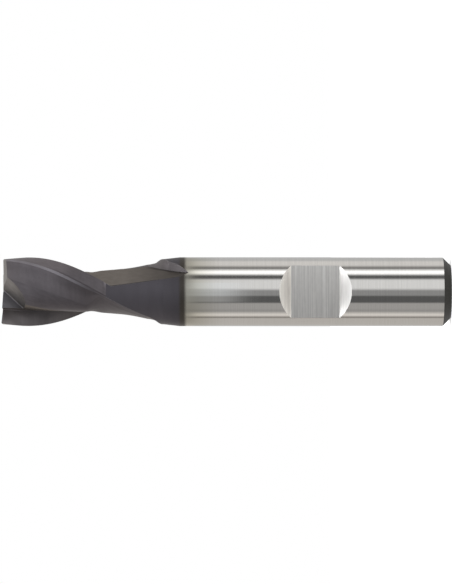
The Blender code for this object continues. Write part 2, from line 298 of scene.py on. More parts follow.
# Upright bands of the tent: (from, to, level, blue share), in degrees from the front to the
# right or left as the front view has them, with soft changes between
SHANK_BANDS_RIGHT = (
    (0, 3, 0.30, 1.0), (11, 37, 0.80, 1.0), (44, 52, 0.12, 1.0), (62, 68, 1.45, 1.0),
    (80, 85, 0.25, 0.95), (96, 114, 0.75, 0.95), (126, 180, 0.55, 1.0),
)
SHANK_BANDS_LEFT = (
    (0, 11, 0.30, 1.0), (15, 34, 0.11, 1.0), (38, 55, 0.40, 0.95), (62, 66, 0.35, 0.95),
    (78, 83, 0.80, 0.90), (91, 92, 0.25, 0.85), (97, 140, 0.55, 0.90), (160, 180, 0.55, 1.0),
)
FRONT_FILL_RIGHT = ((0, 6, 0.60, 1.05), (12, 28, 0.85, 1.05), (40, 180, 0.0, 1.0))
FRONT_FILL_LEFT = ((0, 11, 0.55, 1.05), (16, 30, 0.35, 1.0), (42, 180, 0.0, 1.0))
CUTTER_BANDS_RIGHT = (
    (0, 10, 0.45, 1.0), (35, 45, 0.40, 1.0), (75, 160, 0.50, 0.95), (175, 180, 0.85, 0.95),
)
CUTTER_BANDS_LEFT = (
    (0, 10, 0.45, 1.0), (60, 70, 0.35, 0.95), (105, 110, 0.45, 0.90), (140, 150, 0.60, 0.90),
    (175, 180, 0.95, 0.90),
)

# Camera: the photograph's, whose right is the tool's -Z and whose up is +X
IMAGE_WIDTH = 452
IMAGE_HEIGHT = 584
PIXELS_PER_METRE = 6885.0
BASE_COLUMN = 450.4
AXIS_ROW = 291.7
CAMERA_DISTANCE = 0.523
SENSOR_WIDTH = 36.0
CLIP_START = 0.01


def clamp(value, low, high):
    return max(low, min(high, value))


def ease(value):
    """Smooth step from 0 to 1."""
    value = clamp(value, 0.0, 1.0)
    return value * value * (3.0 - 2.0 * value)


def late_ease(value):
    """Smooth step from 0 to 1 that does most of its rise near the end."""
    value = clamp(value, 0.0, 1.0)
    return value ** 4 * (5.0 - 4.0 * value)


def on_azimuth(radius, azimuth):
    """Point in the section plane at a radius and an azimuth."""
    angle = math.radians(azimuth)
    return Vector((radius * math.sin(angle), -radius * math.cos(angle)))


def edge_azimuth(height):
    """Azimuth of the first cutting edge on its helix."""
    return TIP_EDGE_AZIMUTH - HELIX_RATE * (OVERALL_LENGTH - height)


def body_radius(height):
    """Radius of the turned blank below the teeth: chamfered shank, cone and neck."""
    shank = SHANK_DIAMETER / 2
    neck = NECK_DIAMETER / 2
    if height < END_CHAMFER:
        return shank - END_CHAMFER + height
    cone = clamp((height - SHANK_LENGTH) / NECK_CONE_LENGTH, 0.0, 1.0)
    return shank + (neck - shank) * cone


def outer_radius(height, behind_edge):
    """Outer radius at a share of the land behind the edge: 0 at the edge, 1 at the heel."""
    land = CUT_DIAMETER / 2 - RELIEF_DROP * behind_edge
    step = clamp((height - NECK_TOP) / CUT_STEP_LENGTH, 0.0, 1.0)
    return body_radius(height) * (1.0 - step) + land * step


class WheelFrame:
    """Section axes of the wheel: `out` points away from the axis, `across` to the heel."""

    def __init__(self, azimuth):
        self.azimuth = azimuth
        self.out = on_azimuth(1.0, azimuth)
        self.across = on_azimuth(1.0, azimuth + 90.0)

    def point(self, across, out):
        return self.across * across + self.out * out


# The wheel stops turning with the helix where the ramp starts
RESTING_FRAME = WheelFrame(edge_azimuth(RAMP_START) + INFEED_ANGLE)


def core_support(normal):
    """Distance from the axis to the core's tangent with this normal angle, in radians."""
    return CORE_RADIUS + CORE_SWELL * normal


def core_point(wheel, normal):
    """Point of the core's involute where its normal has this angle to the infeed."""
    support = core_support(normal)
    across = support * math.sin(normal) + CORE_SWELL * math.cos(normal)
    out = support * math.cos(normal) - CORE_SWELL * math.sin(normal)
    return wheel.point(across, out)


def back_normal(height):
    """Normal angle at which the straight back of the tooth leaves the core."""
    heel = math.radians(TOOTH_PITCH - LAND_ANGLE - INFEED_ANGLE)
    normal = heel
    for _ in range(SOLVER_STEPS):
        ratio = core_support(normal) / outer_radius(height, 1.0)
        normal = heel - math.acos(clamp(ratio, 0.0, 1.0))
    return normal


def rake_line(height):
    """Cutting edge and the inward direction of the rake face, hooked by the rake angle."""
    azimuth = edge_azimuth(height)
    edge = on_azimuth(outer_radius(height, 0.0), azimuth)
    return edge, -on_azimuth(1.0, azimuth + RAKE_ANGLE)


def root_normal(wheel, edge, inward):
    """Normal angle at which the core meets the rake face."""
    into_flute = Vector((inward.y, -inward.x))
    low = -math.pi / 2
    high = 0.0
    for _ in range(SOLVER_STEPS):
        middle = (low + high) / 2
        if (core_point(wheel, middle) - edge).dot(into_flute) > 0.0:
            high = middle
        else:
            low = middle
    return (low + high) / 2


def ramp_floor(height):
    """Distance from the axis to the flat floor of the run-out."""
    rise = math.tan(math.radians(RAMP_ANGLE)) * (RAMP_START - height)
    lift = max(LIFT_START - height, 0.0) ** 2 / (2 * LIFT_RADIUS)
    return min(RAMP_FLOOR_RADIUS + rise + lift, outer_radius(height, 0.0))


def ramp_side_azimuth(height):
    """Azimuth at which the floor of the run-out meets the outer surface beside the edge."""
    return RESTING_FRAME.azimuth - math.degrees(
        math.acos(clamp(ramp_floor(height) / outer_radius(height, 0.0), 0.0, 1.0)))


def rake_has_run_out(height):
    """Whether the ramp's floor has risen past the cutting edge."""
    edge, _ = rake_line(height)
    return height < RAMP_START and edge.dot(RESTING_FRAME.out) <= ramp_floor(height)


def start_azimuth(height):
    """Azimuth of the leading side of the flute: the cutting edge, or the ramp's side."""
    if height <= FLUTE_END:
        return ramp_side_azimuth(FLUTE_END)
    if rake_has_run_out(height):
        return ramp_side_azimuth(height)
    return edge_azimuth(height)


def heel_azimuth(height):
    """Azimuth of the heel: on the helix, and then faster round the scoop to the end."""
    if height <= FLUTE_END:
        return start_azimuth(height)
    behind = TOOTH_PITCH - LAND_ANGLE
    extra_turn = edge_azimuth(FLUTE_END) + behind - start_azimuth(FLUTE_END)
    corner = late_ease((SCOOP_START - height) / SCOOP_CORNER)
    rest = clamp((SCOOP_START - height) / SCOOP_LENGTH, 0.0, 1.0) ** 3
    share = SCOOP_CORNER_SHARE * corner + (1.0 - SCOOP_CORNER_SHARE) * rest
    return edge_azimuth(height) + behind - extra_turn * share


def heel_point(height):
    return on_azimuth(outer_radius(height, 1.0), heel_azimuth(height))


def bevelled_heel(back_end, heel):
    """Point where the back stops short of the heel, for a narrow bevel between them."""
    run = back_end - heel
    width = min(HEEL_BEVEL, run.length / 2)
    rise = width * math.tan(math.radians(HEEL_BEVEL_ANGLE))
    outward = Vector((-run.y, run.x)).normalized()
    return heel + run.normalized() * width + outward * rise


def full_section(height):
    """Flute at full depth: floor points from the rake root, and back points to the heel."""
    wheel = WheelFrame(edge_azimuth(height) + INFEED_ANGLE)
    start = root_normal(wheel, *rake_line(height))
    crown = math.asin(clamp((FLOOR_SIDE_WIDTH - CORE_SWELL) / CORE_RADIUS, 0.0, 1.0))
    end = back_normal(height)
    floor = [core_point(wheel, start + (crown - start) * i / FLOOR_POINTS)
             for i in range(FLOOR_POINTS + 1)]
    turned = BACK_POINTS - 2
    back = [core_point(wheel, crown + (end - crown) * i / turned)
            for i in range(1, turned + 1)]
    heel = heel_point(height)
    return floor, back + [bevelled_heel(back[-1], heel), heel]


def run_out_section(height):
    """Flute in the run-out: a flat floor, and a back that ends in a scoop."""
    out = ramp_floor(height)
    if rake_has_run_out(height):
        side = on_azimuth(outer_radius(height, 0.0), ramp_side_azimuth(height))
    else:
        edge, inward = rake_line(height)
        drop = edge.dot(RESTING_FRAME.out) - out
        side = edge - inward * drop / inward.dot(RESTING_FRAME.out)
    end_side = on_azimuth(outer_radius(FLUTE_END, 0.0), start_azimuth(FLUTE_END))
    share = clamp((CREASE_START - height) / CREASE_LENGTH, 0.0, 1.0)
    end_across = end_side.dot(RESTING_FRAME.across)
    across = FLOOR_SIDE_WIDTH + (end_across - FLOOR_SIDE_WIDTH) * share
    crease = RESTING_FRAME.point(across, out)
    heel = heel_point(height)
    chord = heel - crease
    outward = Vector((chord.y, -chord.x)).normalized()
    bulge = BACK_BULGE * ease((height - LIFT_START) / BACK_BULGE_RISE)
    middle = crease.lerp(heel, 0.5) + outward * 2 * bulge
    floor = [side.lerp(crease, i / FLOOR_POINTS) for i in range(FLOOR_POINTS + 1)]
    back = [arc_point(crease, middle, heel, i / BACK_POINTS)
            for i in range(1, BACK_POINTS + 1)]
    return floor, back


def arc_point(start, control, end, share):
    """Point of the parabola that leaves `start` and reaches `end` heading by `control`."""
    return start.lerp(control, share).lerp(control.lerp(end, share), share)


def flute_outline(height):
    """Points of the first flute in a section, from its leading side to the heel."""
    if height <= FLUTE_END:
        end = on_azimuth(outer_radius(height, 0.0), start_azimuth(height))
        return [end] * (ROOT_POINTS + 1 + FLOOR_POINTS + BACK_POINTS)
    weight = ease((RAMP_START - height) / BLEND_LENGTH)
    floor, back = run_out_section(height)
    if weight < 1.0:
        full_floor, full_back = full_section(height)
        floor = [a.lerp(b, weight) for a, b in zip(full_floor, floor)]
        back = [a.lerp(b, weight) for a, b in zip(full_back, back)]
    edge = on_azimuth(outer_radius(height, 0.0), start_azimuth(height))
    wall = edge - floor[0]
    above_root = floor[0]
    if wall.length > 0.0:
        above_root = floor[0] + wall.normalized() * min(ROOT_BLEND, wall.length / 2)
    root = [arc_point(above_root, floor[0], floor[1], i / ROOT_POINTS)
            for i in range(ROOT_POINTS)]
    return [edge] + root + floor[1:] + back


def land_outline(height):
    """Points of the outer surface between the heel and the next flute's leading side."""
    start = heel_azimuth(height)
    end = start_azimuth(height) + TOOTH_PITCH
    turned = HELIX_RATE * max(height - NECK_TOP, 0.0)
    first = start_azimuth(FLUTE_END) + turned
    points = []
    for index in range(1, round(TOOTH_PITCH / GRID_STEP)):
        azimuth = clamp(first + index * GRID_STEP, start, end)
        if azimuth - start < GRID_SNAP:
            azimuth = start
        if end - azimuth < GRID_SNAP:
            azimuth = end
        behind_edge = (end - azimuth) / (end - start)
        points.append(on_azimuth(outer_radius(height, behind_edge), azimuth))
    return points

def section(height):
    """Closed outline of the tool at one height, counter-clockwise."""
    half = flute_outline(height) + land_outline(height)
    outline = []
    for tooth in range(TEETH):
        turn = Matrix.Rotation(math.radians(TOOTH_PITCH * tooth), 2)
        outline += [turn @ point for point in half]
    return outline


def column_finishes():
    """Finish of each strip of the loft, from one outline point to the next."""
    land = round(TOOTH_PITCH / GRID_STEP)
    half = [RAKE] * (1 + ROOT_POINTS) + [FLOOR] * (FLOOR_POINTS - 1)
    half += [CREASE] + [BACK] * (BACK_POINTS - 2) + [HEEL] + [LAND] * land
    return half * TEETH


def section_heights():
    """Heights of the lofted sections, closer together where the flutes turn or run out."""
    keys = sorted({0.0, END_CHAMFER, FLUTE_END, SHANK_LENGTH, CREASE_START, NECK_START,
                   NECK_TOP, CUT_START, RAMP_START, BLANK_TOP})
    heights = [0.0]
    for low, high in zip(keys, keys[1:]):
        pitch = CUT_RING_PITCH if low >= CUT_START else RUN_OUT_RING_PITCH
        steps = 1 if high <= FLUTE_END else max(math.ceil((high - low) / pitch), 1)
        heights += [low + (high - low) * i / steps for i in range(1, steps + 1)]
    return heights


def arc_between(first, second):
    """Distance round the axis from one point to a later one, in millimetres."""
    turn = math.atan2(second.y, second.x) - math.atan2(first.y, first.x)
    if turn < 0.0:
        turn += 2 * math.pi
    return turn * second.xy.length * MILLIMETRES


def loft_tool():
    """Mesh of the tool before the cuts, with a finish on each face and a surface map.

    The map runs round the tool and up it in millimetres, and turns with the flutes. In the
    flutes it counts from the crease, and on the lands from the heel.
    """
    mesh = bmesh.new()
    surface = mesh.loops.layers.uv.new('surface')
    heights = section_heights()
    rings = [[mesh.verts.new((p.x, p.y, height)) for p in section(height)]
             for height in heights]
    finishes = column_finishes()
    heels = [i for i in range(len(finishes)) if finishes[i - 1] == HEEL]
    creases = [i for i in range(len(finishes)) if finishes[i] == CREASE]
    for level, (low, high) in enumerate(zip(rings, rings[1:])):
        bottom, top = heights[level], heights[level + 1]
        for i, vertex in enumerate(low):
            j = (i + 1) % len(low)
            face = mesh.faces.new((vertex, low[j], high[j], high[i]))
            face.material_index = finishes[i]
            if finishes[i] == LAND and bottom < NECK_TOP:
                face.material_index = SHANK_END if top <= END_CHAMFER else TURNED
            if finishes[i] in (BACK, HEEL) and bottom < CREASE_START:
                face.material_index = SCOOP
            if finishes[i] == CREASE and bottom >= CREASE_START:
                face.material_index = BACK
            corners = ((i, bottom), (i + 1, bottom), (i + 1, top), (i, top))
            start = creases[TEETH * i // len(low)] if finishes[i] != LAND else 0
            for loop, (column, height) in zip(face.loops, corners):
                loop[surface].uv = ((column - start) * COLUMN_WIDTH, height * MILLIMETRES)
            if face.material_index == LAND:
                heel = max(column for column in heels if column <= i)
                for loop in face.loops:
                    ring = low if loop.vert.co.z < (bottom + top) / 2 else high
                    loop[surface].uv.x = arc_between(ring[heel].co, loop.vert.co)
    for cap in (mesh.faces.new(reversed(rings[0])), mesh.faces.new(rings[-1])):
        cap.material_index = SHANK_END
        for loop in cap.loops:
            loop[surface].uv = loop.vert.co.xy * MILLIMETRES
    bmesh.ops.remove_doubles(mesh, verts=mesh.verts, dist=MERGE_DISTANCE)
    bmesh.ops.triangulate(mesh, faces=mesh.faces)
    return mesh


def add_object(name, mesh):
    data = bpy.data.meshes.new(name)
    mesh.to_mesh(data)
    mesh.free()
    piece = bpy.data.objects.new(name, data)
    bpy.context.scene.collection.objects.link(piece)
    return piece


def prism(profile, origin, side, up, start, end):
    """Closed prism: a profile in the `side` and `up` directions, swept from start to end."""
    along = side.cross(up)
    mesh = bmesh.new()
    surface = mesh.loops.layers.uv.new('surface')
    ends = []
    for distance in (start, end):
        base = origin + along * distance
        ends.append([mesh.verts.new(base + side * x + up * y) for x, y in profile])
    mesh.faces.new(ends[0])
    mesh.faces.new(ends[1])
    for i, vertex in enumerate(ends[0]):
        j = (i + 1) % len(profile)
        mesh.faces.new((vertex, ends[0][j], ends[1][j], ends[1][i]))
    bmesh.ops.recalc_face_normals(mesh, faces=mesh.faces)
    for face in mesh.faces:
        across = along.cross(face.normal)
        for loop in face.loops:
            place = (loop.vert.co - origin) * MILLIMETRES
            loop[surface].uv = (place.dot(across), place.dot(along))
    return mesh


def cut(body, name, mesh, side_finishes):
    """Take a cutter away from the body for good, with a finish for each of its sides."""
    mesh.faces.ensure_lookup_table()
    for face, finish in zip(mesh.faces[2:], side_finishes):
        face.material_index = finish
    cutter = add_object(name, mesh)
    for material in body.data.materials:
        cutter.data.materials.append(material)
    boolean = body.modifiers.new(name, 'BOOLEAN')
    boolean.operation = 'DIFFERENCE'
    boolean.object = cutter
    bpy.context.view_layer.update()
    evaluated = body.evaluated_get(bpy.context.evaluated_depsgraph_get())
    data = bpy.data.meshes.new_from_object(evaluated)
    body.modifiers.remove(boolean)
    old = body.data
    body.data = data
    bpy.data.meshes.remove(old)
    bpy.data.objects.remove(cutter)


def clamping_flat():
    """Cutter for the flat: open to the front, with sloped ends."""
    depth = SHANK_DIAMETER - FLAT_OFFSET
    flare = depth / math.tan(math.radians(FLAT_END_ANGLE))
    half = FLAT_LENGTH / 2
    profile = [(-half, 0.0), (half, 0.0), (half + flare, depth), (-half - flare, depth)]
    origin = Vector((0.0, -FLAT_OFFSET, FLAT_CENTRE))
    up = Vector((0.0, 0.0, 1.0))
    return prism(profile, origin, up, Vector((0.0, -1.0, 0.0)), -CUTTER_REACH, CUTTER_REACH)


def tooth_axes(tooth):
    """Directions at the tip along a tooth's end edge, ahead of it and up."""
    azimuth = edge_azimuth(OVERALL_LENGTH) + TOOTH_PITCH * tooth
    return (on_azimuth(1.0, azimuth).to_3d(), on_azimuth(1.0, azimuth + 90.0).to_3d(),
            Vector((0.0, 0.0, 1.0)))


def gash(tooth):
    """Cutter for the notch ahead of an end edge, deeper towards the outside."""
    edge_way, ahead, up = tooth_axes(tooth)
    slope = math.radians(GASH_SLOPE)
    lean = edge_way * math.sin(slope) + up * math.cos(slope)
    origin = ahead * WEB_THICKNESS / 2 + up * (OVERALL_LENGTH - GASH_DEPTH)
    opening = math.radians(GASH_OPENING)
    wall = (CUTTER_REACH * math.sin(opening), CUTTER_REACH * math.cos(opening))
    profile = [(0.0, 0.0), wall, (CUTTER_REACH, CUTTER_REACH), (0.0, CUTTER_REACH)]
    return prism(profile, origin, ahead, lean, -CUTTER_REACH, CUTTER_REACH)


def end_relief(tooth):
    """Cutter above an end edge: dished to the middle, with two angles of relief behind."""
    edge_way, ahead, up = tooth_axes(tooth)
    dish = math.radians(DISH_ANGLE)
    along = edge_way * math.cos(dish) + up * math.sin(dish)
    raised = along.cross(ahead)
    first_drop = END_RELIEF_WIDTH * math.tan(math.radians(END_RELIEF_ANGLE))
    rest = CUTTER_REACH * math.tan(math.radians(END_CLEARANCE_ANGLE))
    start = WEB_THICKNESS / 2
    ahead_of_edge = -start - SEAM_OVERLAP
    rise = SEAM_OVERLAP * math.tan(math.radians(END_RELIEF_ANGLE))
    behind = CUTTER_REACH + END_RELIEF_WIDTH - start
    profile = [(ahead_of_edge, rise), (END_RELIEF_WIDTH - start, -first_drop),
               (behind, -first_drop - rest), (behind, CUTTER_REACH),
               (ahead_of_edge, CUTTER_REACH)]
    corner = edge_way * CUT_DIAMETER / 2 + up * OVERALL_LENGTH
    inner = (CUT_DIAMETER / 2 + WEB_THICKNESS / 2) / math.cos(dish)
    return prism(profile, corner, -ahead, raised, -CUTTER_REACH, inner)


def add_node(tree, kind, **inputs):
    """Shader node with its inputs set by name, from a value or from another node's output."""
    node = tree.nodes.new(kind)
    for name, value in inputs.items():
        socket = node.inputs[name.replace('_', ' ')]
        if isinstance(value, bpy.types.NodeSocket):
            tree.links.new(value, socket)
        else:
            socket.default_value = value
    return node


def arithmetic(tree, operation, first, second=0.0):
    """Result of a sum, product or other operation on numbers or node outputs."""
    node = tree.nodes.new('ShaderNodeMath')
    node.operation = operation
    for socket, value in zip(node.inputs, (first, second)):
        if isinstance(value, bpy.types.NodeSocket):
            tree.links.new(value, socket)
        else:
            socket.default_value = value
    return node.outputs[0]


def step_between(tree, value, low, high, from_value=0.0, to_value=1.0):
    """Smooth step of a value: from_value below low and to_value above high."""
    node = tree.nodes.new('ShaderNodeMapRange')
    node.interpolation_type = 'SMOOTHSTEP'
    tree.links.new(value, node.inputs['Value'])
    node.inputs['From Min'].default_value = low
    node.inputs['From Max'].default_value = high
    node.inputs['To Min'].default_value = from_value
    node.inputs['To Max'].default_value = to_value
    return node.outputs['Result']


def mix_colour(tree, share, first, second, blend='MIX'):
    """Colour between two, at a share of the second, or blended by another mode."""
    node = tree.nodes.new('ShaderNodeMix')
    node.data_type = 'RGBA'
    node.blend_type = blend
    colour_inputs = [s for s in node.inputs if s.type == 'RGBA']
    for socket, value in zip((node.inputs[0], *colour_inputs), (share, first, second)):
        if isinstance(value, bpy.types.NodeSocket):
            tree.links.new(value, socket)
        else:
            socket.default_value = value
    return next(s for s in node.outputs if s.type == 'RGBA')


def surface_map(tree):
    surface = tree.nodes.new('ShaderNodeUVMap')
    surface.uv_map = 'surface'
    return surface.outputs['UV']


def map_across(tree):
    """Place across a face on the surface map, in millimetres."""
    parts = add_node(tree, 'ShaderNodeSeparateXYZ', Vector=surface_map(tree))
    return parts.outputs['X']


def grain(tree, round_scale, up_scale, detail=GRAIN_DETAIL):
    """Noise on the surface map, stretched by its scales per millimetre round and up."""
    stretched = add_node(tree, 'ShaderNodeMapping', Vector=surface_map(tree),
                         Scale=(round_scale, up_scale, 1.0))
    noise = add_node(tree, 'ShaderNodeTexNoise', Vector=stretched.outputs['Vector'],
                     Scale=1.0, Detail=detail, Roughness=GRAIN_ROUGHNESS)
    return noise.outputs['Fac']


def height_up(tree):
    """Height above the shank's end, in millimetres."""
    place = add_node(tree, 'ShaderNodeTexCoord').outputs['Object']
    parts = add_node(tree, 'ShaderNodeSeparateXYZ', Vector=place)
    return arithmetic(tree, 'MULTIPLY', parts.outputs['Z'], MILLIMETRES)


def height_fade(low, high, at_low, at_high):
    """Shading by height: a factor at or below one height, easing to another above."""
    def shading(tree):
        return step_between(tree, height_up(tree), low, high, at_low, at_high)
    return shading


def valley_shade(tree):
    """Painted light and shade: gashes lighter to the tip, a light line between darker bands.
    """
    away = arithmetic(tree, 'ABSOLUTE', map_across(tree))
    band = step_between(tree, away, *VALLEY_BAND)
    line = step_between(tree, away, *VALLEY_LINE)
    along = step_between(tree, height_up(tree), *GASH_FADE)
    return arithmetic(tree, 'MULTIPLY', along, arithmetic(tree, 'MAXIMUM', band, line))


def land_shade(tree):
    """Painted light on the lands towards the tip, and painted shade along the heel below."""
    from_heel = step_between(tree, map_across(tree), *HEEL_LINE)
    up = height_up(tree)
    line = arithmetic(tree, 'MAXIMUM', from_heel, step_between(tree, up, *HEEL_LINE_FADE))
    return arithmetic(tree, 'MULTIPLY', line, step_between(tree, up, *LAND_FADE))


def floor_shade(tree):
    """Painted shade on the flute's floor: darker where it runs out, most of all by the crease.
    """
    up = height_up(tree)
    away = arithmetic(tree, 'ABSOLUTE', map_across(tree))
    by_crease = step_between(tree, away, *CREASE_BAND)
    crease = arithmetic(tree, 'MAXIMUM', by_crease, step_between(tree, up, *CREASE_FADE))
    return arithmetic(tree, 'MULTIPLY', crease, step_between(tree, up, *FLOOR_FADE))


def back_shade(tree):
    """Painted light and shade on the backs: lighter to the tip and along the middle."""
    up = height_up(tree)
    along = arithmetic(tree, 'MULTIPLY', step_between(tree, up, *BACK_FADE),
                       step_between(tree, up, *BACK_TIP_FADE))
    place = map_across(tree)
    across = arithmetic(tree, 'MULTIPLY', step_between(tree, place, *BACK_MIDDLE),
                        step_between(tree, place, *BACK_BY_HEEL))
    return arithmetic(tree, 'MULTIPLY', along, across)


def rake_shade(tree):
    """Painted light and shade on the rakes: lighter to the tip, and darker to the root."""
    up = height_up(tree)
    along = arithmetic(tree, 'MULTIPLY', step_between(tree, up, *RAKE_FADE),
                       step_between(tree, up, *RAKE_TIP_FADE))
    across = step_between(tree, map_across(tree), *RAKE_ACROSS)
    return arithmetic(tree, 'MULTIPLY', along, across)


def upper_slope_shade(tree):
    """Painted light on the flat's upper end: lighter upwards, a highlight line at its foot."""
    up = height_up(tree)
    return arithmetic(tree, 'MULTIPLY', step_between(tree, up, *UPPER_FADE),
                      step_between(tree, up, *UPPER_EDGE))


def scribed(tree):
    """Shading of the flat: one brighter grinding line."""
    beside = arithmetic(tree, 'ABSOLUTE', arithmetic(tree, 'SUBTRACT', map_across(tree),
                                                     SCRIBE_PLACE))
    return step_between(tree, beside, *SCRIBE_LINE)


def edge_share(tree):
    """1 along sharp edges and 0 away from them."""
    rounded = tree.nodes.new('ShaderNodeBevel')
    rounded.samples = EDGE_SAMPLES
    rounded.inputs['Radius'].default_value = EDGE_RADIUS
    flat = tree.nodes.new('ShaderNodeNewGeometry')
    turned = tree.nodes.new('ShaderNodeVectorMath')
    turned.operation = 'DOT_PRODUCT'
    tree.links.new(rounded.outputs['Normal'], turned.inputs[0])
    tree.links.new(flat.outputs['Normal'], turned.inputs[1])
    return step_between(tree, turned.outputs['Value'], *EDGE_TURN)


def new_material(name):
    material = bpy.data.materials.new(name)
    material.use_nodes = True
    return material, material.node_tree, material.node_tree.nodes['Principled BSDF']


def shade(value, amount):
    """Colour made lighter or darker by a factor."""
    return tuple(channel * amount for channel in value[:3]) + (1.0,)


def ground_finish(name, colour, roughness, lines, line_depth, mottle=COAT_MOTTLE,
                  contrast=COAT_CONTRAST, edge_highlight=None, highlight_share=COAT_HIGHLIGHT_SHARE,
                  shading=None):
    """Ground metal: fine lines on the surface map, soft mottling and painted edge highlights.
    """
    material, tree, shader = new_material(name)
    fine = grain(tree, *lines)
    soft = grain(tree, *CLOUDS)
    base = mix_colour(tree, step_between(tree, soft, *CLOUD_RANGE),
                      shade(colour, 1.0 - mottle), shade(colour, 1.0 + mottle))
    dark_line = shade(WHITE, 1.0 - contrast)
    light_line = shade(WHITE, 1.0 + contrast)
    streaked = mix_colour(tree, step_between(tree, fine, *LINE_RANGE), dark_line, light_line)
    base = mix_colour(tree, 1.0, base, streaked, 'MULTIPLY')
    if shading:
        base = mix_colour(tree, 1.0, base, shading(tree), 'MULTIPLY')
    # Painted highlight along sharp edges
    if edge_highlight:
        share = arithmetic(tree, 'MULTIPLY', edge_share(tree), highlight_share)
        base = mix_colour(tree, share, base, edge_highlight)
    tree.links.new(base, shader.inputs['Base Color'])
    least, most = (roughness * spread for spread in ROUGH_SPREAD)
    rough = step_between(tree, fine, *ROUGH_RANGE, least, most)
    tree.links.new(rough, shader.inputs['Roughness'])
    bump = add_node(tree, 'ShaderNodeBump', Strength=1.0, Distance=line_depth, Height=fine)
    tree.links.new(bump.outputs['Normal'], shader.inputs['Normal'])
    shader.inputs['Metallic'].default_value = 1.0
    return material


def turned_finish():
    """Bright ground shank, with the dark coating above its end and a stained band there."""
    material, tree, shader = new_material('ground_shank')
    up = height_up(tree)
    fine = grain(tree, *SHANK_LINES)
    hatch = grain(tree, *SHANK_HATCH)
    soft = grain(tree, *NECK_CLOUDS)
    end = COATING_END * MILLIMETRES
    edge = COATING_EDGE * MILLIMETRES
    steel = mix_colour(tree, step_between(tree, fine, *LINE_RANGE), STEEL_DARK, STEEL_LIGHT)
    stain = step_between(tree, up, end - STAIN_LENGTH * MILLIMETRES, end)
    steel = mix_colour(tree, stain, steel, STEEL_STAINED)
    coat = mix_colour(tree, step_between(tree, soft, *LINE_RANGE),
                      shade(COAT_NECK, 1.0 - NECK_MOTTLE), shade(COAT_NECK, 1.0 + NECK_MOTTLE))
    coat = mix_colour(tree, 1.0, coat, height_fade(*CONE_FADE)(tree), 'MULTIPLY')
    past_band = step_between(tree, up, end + BAND_START * MILLIMETRES,
                             end + BAND_END * MILLIMETRES)
    band = mix_colour(tree, past_band, COAT_BAND, coat)
    coated = step_between(tree, up, end - edge, end + edge)
    base = mix_colour(tree, coated, steel, band)
    # Painted highlight along sharp edges
    edge_highlight = arithmetic(tree, 'MULTIPLY', edge_share(tree), SHANK_HIGHLIGHT_SHARE)
    base = mix_colour(tree, edge_highlight, base, STEEL_EDGE_HIGHLIGHT)
    tree.links.new(base, shader.inputs['Base Color'])
    steel_rough = step_between(tree, fine, *ROUGH_RANGE, *SHANK_ROUGHNESS)
    rough = tree.nodes.new('ShaderNodeMix')
    tree.links.new(coated, rough.inputs[0])
    tree.links.new(steel_rough, rough.inputs[2])
    rough.inputs[3].default_value = NECK_ROUGHNESS
    tree.links.new(rough.outputs[0], shader.inputs['Roughness'])
    relief = arithmetic(tree, 'ADD', fine, arithmetic(tree, 'MULTIPLY', hatch, HATCH_SHARE))
    bump = add_node(tree, 'ShaderNodeBump', Strength=1.0, Distance=SHANK_LINE_DEPTH,
                    Height=relief)
    tree.links.new(bump.outputs['Normal'], shader.inputs['Normal'])
    shader.inputs['Metallic'].default_value = 1.0
    return material


def finishes():
    """Materials in the order of the finish numbers."""
    coat = dict(roughness=COAT_ROUGHNESS, line_depth=COAT_LINE_DEPTH, edge_highlight=COAT_EDGE_HIGHLIGHT)
    steel = dict(roughness=FLAT_ROUGHNESS, line_depth=FLAT_LINE_DEPTH, lines=FLAT_LINES,
                 mottle=FLAT_MOTTLE, contrast=FLAT_CONTRAST, edge_highlight=STEEL_EDGE_HIGHLIGHT,
                 highlight_share=FLAT_HIGHLIGHT_SHARE)
    return [
        turned_finish(),
        ground_finish('dark_shank_end', END_DARK, END_ROUGHNESS, END_LINES, END_LINE_DEPTH),
        ground_finish('coated_land', COAT_LAND, lines=LAND_LINES, shading=land_shade,
                      **coat),
        ground_finish('coated_rake', COAT_RAKE, lines=FLUTE_LINES, shading=rake_shade,
                      **coat),
        ground_finish('coated_flute_floor', COAT_FLOOR, lines=FLUTE_LINES,
                      shading=floor_shade, **coat),
        ground_finish('coated_back', COAT_BACK, lines=BACK_LINES, shading=back_shade,
                      **coat),
        ground_finish('ground_flat', FLAT_STEEL, shading=scribed, **steel),
        # The flat's sloped ends: lit and shaded copies of its steel, as painted light and
        # shade
        ground_finish('ground_flat_upper_lit', FLAT_UPPER_LIT_STEEL, shading=upper_slope_shade,
                      **steel),
        ground_finish('ground_flat_lower_shaded', FLAT_LOWER_SHADED_STEEL,
                      shading=height_fade(*LOWER_FADE), **steel),
        ground_finish('coated_gash', COAT_GASH, lines=COAT_LINES, shading=valley_shade,
                      **coat),
        ground_finish('coated_end_rake', COAT_END_RAKE, lines=COAT_LINES,
                      shading=valley_shade, **coat),
        ground_finish('coated_end', COAT_RELIEF, lines=COAT_LINES, **coat),
        ground_finish('coated_scoop', COAT_SCOOP, lines=COAT_LINES,
                      shading=height_fade(*SCOOP_FADE), **coat),
        # Painted shade along the crease
        ground_finish('coated_crease_shade', COAT_CREASE_SHADE, lines=COAT_LINES, **coat),
        # Painted highlight along the heel's bevel, dimmer down the tool
        ground_finish('coated_heel_highlight', COAT_HEEL_HIGHLIGHT, lines=COAT_LINES,
                      shading=height_fade(*HEEL_FADE), **coat),
    ]


